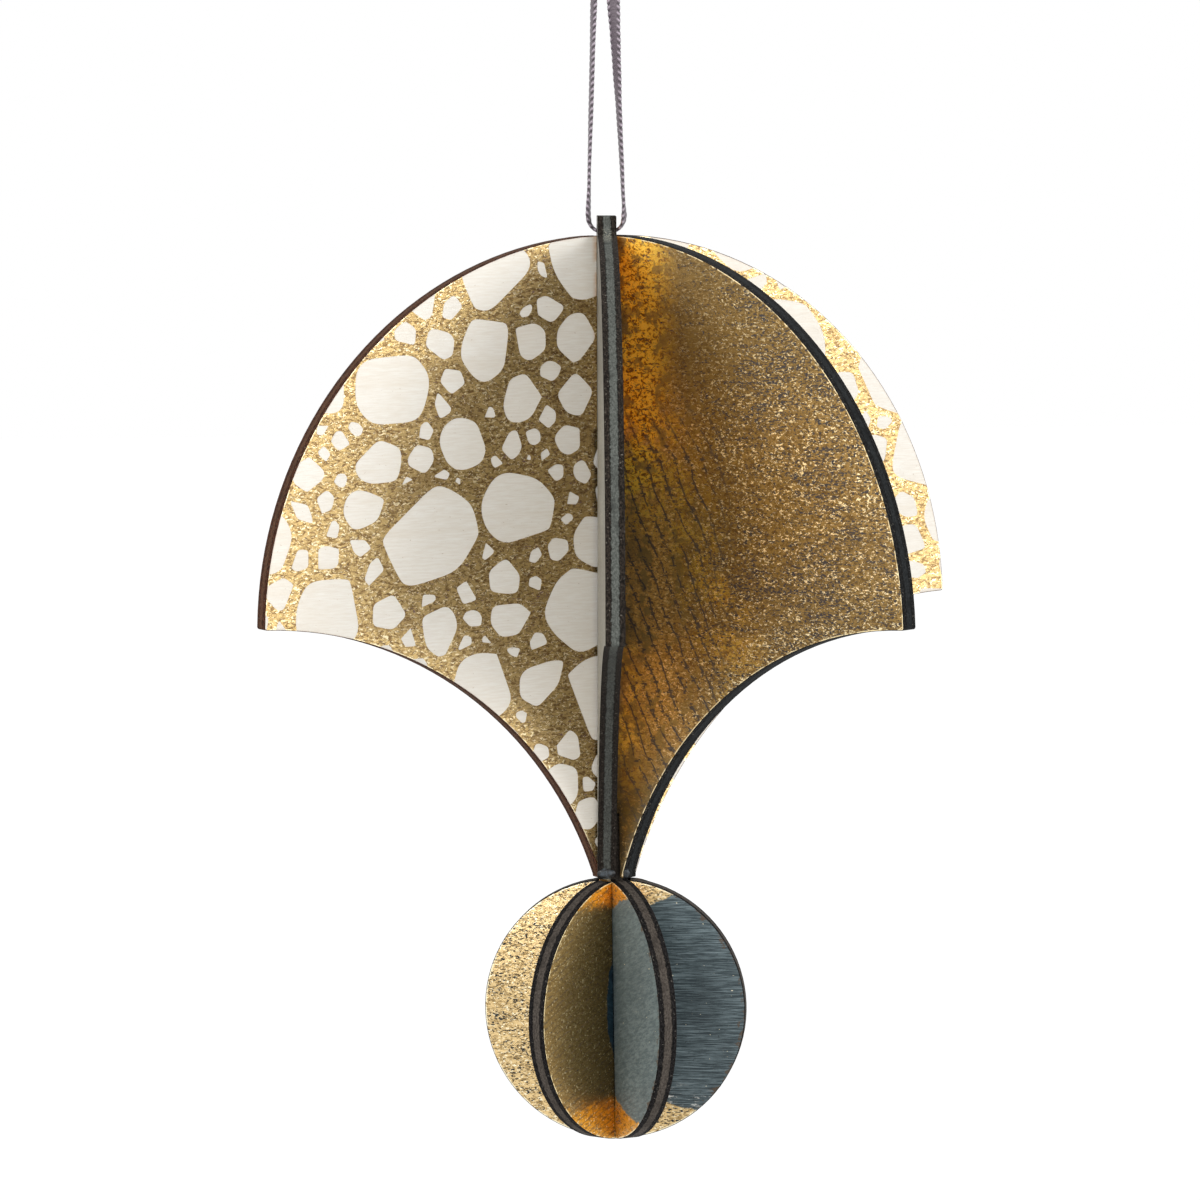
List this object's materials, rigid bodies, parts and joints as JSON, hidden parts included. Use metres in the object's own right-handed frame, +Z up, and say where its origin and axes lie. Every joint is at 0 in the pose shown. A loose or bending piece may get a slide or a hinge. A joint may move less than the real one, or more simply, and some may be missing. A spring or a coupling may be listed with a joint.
{
  "type": "hanging ornament",
  "caption": "Hanging wooden bauble of slotted plywood: a fan of crossed plates over a ball of crossed discs, hung on a knotted cord through a tab.",
  "frame": {"origin": "the hanging point, where a hook bears on the cord just under its knot", "axes": "+Z up along the upright axis that the boards cross on, from which only the cap plate leans, by 0.7 degrees; +X to the right of the picture, in line with the cord hole to within a degree; +Y away from the viewer"},
  "size_m": [0.1102, 0.1224, 0.1997],
  "materials": {
    "cap_plate": "plywood with blue-grey brushed paint and gold rubbed over it, burnt edges",
    "pebble_plate": "pale birch plywood with a gold pebble pattern, brown burnt edges",
    "bronze_plate": "plywood with bronze and orange metallic paint, worn with dark flecks, grey burnt edges",
    "ball_stub_disc": "plywood with blue-grey paint over gold, burnt edges",
    "ball_middle_disc": "plywood, one half flecked gold and one half brushed blue, burnt edges",
    "ball_lower_disc": "plywood with bronze and orange metallic paint, burnt edges",
    "cord": "mauve-grey flat braided cord"
  },
  "bodies": {
    "hanger": {"cord_knot": "cord"},
    "cord": {"cord_loop": "cord"},
    "bauble": {"cap_plate": "cap_plate", "pebble_plate": "pebble_plate", "bronze_plate": "bronze_plate", "ball_stub_disc": "ball_stub_disc", "ball_middle_disc": "ball_middle_disc", "ball_lower_disc": "ball_lower_disc"}
  },
  "joints": [
    {"name": "cord_twist", "type": "hinge", "parent": "hanger", "child": "cord", "pos_m": [0, 0, 0], "axis": [0, 0, 1], "range_deg": [-180, 180]},
    {"name": "tab_rock", "type": "hinge", "parent": "cord", "child": "bauble", "pos_m": [0, 0, -0.0414], "axis": [1, 0, 0], "range_deg": [-20, 20]}
  ]
}
